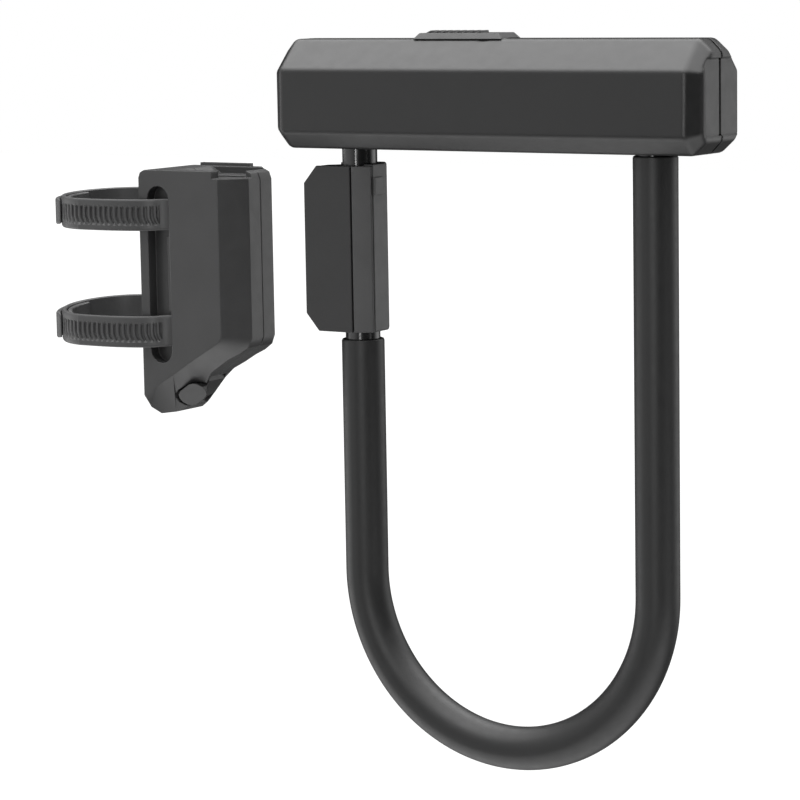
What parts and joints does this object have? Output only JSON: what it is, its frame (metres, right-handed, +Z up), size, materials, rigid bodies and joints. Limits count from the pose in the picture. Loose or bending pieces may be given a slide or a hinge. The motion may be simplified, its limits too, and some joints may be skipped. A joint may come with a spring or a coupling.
{
  "type": "u lock",
  "caption": "U-shaped bicycle lock: coated steel shackle in a faceted crossbar with a sliding keyway cover, a carrier block on one leg, and a strap-on frame bracket beside it.",
  "frame": {"origin": "middle of the crossbar's underside between the shackle's legs", "axes": "+X along the crossbar to the right seen from the front, front is -Y, +Z up out of the crossbar's top; the shackle hangs towards -Z"},
  "size_m": [0.289, 0.0446, 0.271],
  "materials": {
    "casing": "satin black moulded plastic",
    "trim": "satin dark grey moulded plastic",
    "bracket": "satin dark grey glass-filled plastic",
    "strap": "flexible black plastic",
    "rubber": "matte black rubber",
    "black_steel": "glossy black coated steel",
    "hard_steel": "hardened steel",
    "brass": "machined brass",
    "screw": "zinc plated steel"
  },
  "bodies": {
    "crossbar": {"bolt_guide_left": "hard_steel", "bolt_guide_right": "hard_steel", "casing_screw_left_lower": "screw", "casing_screw_left_upper": "screw", "casing_screw_right_lower": "screw", "casing_screw_right_upper": "screw", "crossbar_front_shell": "casing", "crossbar_rear_shell": "casing", "crossbar_tube": "hard_steel", "foot_seal_left": "rubber", "foot_seal_right": "rubber", "lock_housing": "brass", "tube_plug_left": "hard_steel", "tube_plug_right": "hard_steel"},
    "cover": {"keyway_cover": "trim"},
    "key_plug": {"lock_plug": "brass", "lock_cam": "hard_steel"},
    "bolt_right": {"deadbolt_right": "hard_steel"},
    "bolt_left": {"deadbolt_left": "hard_steel"},
    "shackle": {"block_clip": "casing", "block_front_half": "casing", "block_rear_half": "casing", "block_wing": "casing", "shackle_bar": "black_steel", "shackle_coating": "rubber"},
    "bracket": {"bracket_front_shell": "bracket", "bracket_rear_shell": "bracket", "bracket_screw_lower": "screw", "bracket_screw_upper": "screw", "lever_pin": "hard_steel", "saddle_pad": "rubber", "strap_lower": "strap", "strap_tail_lower": "strap", "strap_tail_upper": "strap", "strap_upper": "strap"},
    "lever": {"release_lever": "trim"}
  },
  "joints": [
    {"name": "shackle_pull", "type": "slide", "parent": "crossbar", "child": "shackle", "axis": [0, 0, -1], "range_m": [0, 0.06]},
    {"name": "cover_slide", "type": "slide", "parent": "crossbar", "child": "cover", "axis": [-1, 0, 0], "range_m": [0, 0.0144]},
    {"name": "key_turn", "type": "hinge", "parent": "crossbar", "child": "key_plug", "pos_m": [-0.0036, 0, 0.03], "axis": [0, 0, -1], "range_deg": [0, 90]},
    {"name": "right_bolt_slide", "type": "slide", "parent": "crossbar", "child": "bolt_right", "axis": [1, 0, 0], "range_m": [0, 0.005]},
    {"name": "left_bolt_slide", "type": "slide", "parent": "crossbar", "child": "bolt_left", "axis": [-1, 0, 0], "range_m": [0, 0.005]},
    {"name": "bracket_lift", "type": "slide", "parent": "crossbar", "child": "bracket", "axis": [0, 0, 1], "range_m": [0, 0.06]},
    {"name": "lever_press", "type": "hinge", "parent": "bracket", "child": "lever", "pos_m": [-0.134, 0, -0.0825], "axis": [0, 1, 0], "range_deg": [0, 4], "stiffness_Nm_per_rad": 0.5}
  ],
  "couplings": [
    {"joint": "key_turn", "follows": "right_bolt_slide", "rad_per_m": 314},
    {"joint": "left_bolt_slide", "follows": "right_bolt_slide", "ratio": 1}
  ]
}
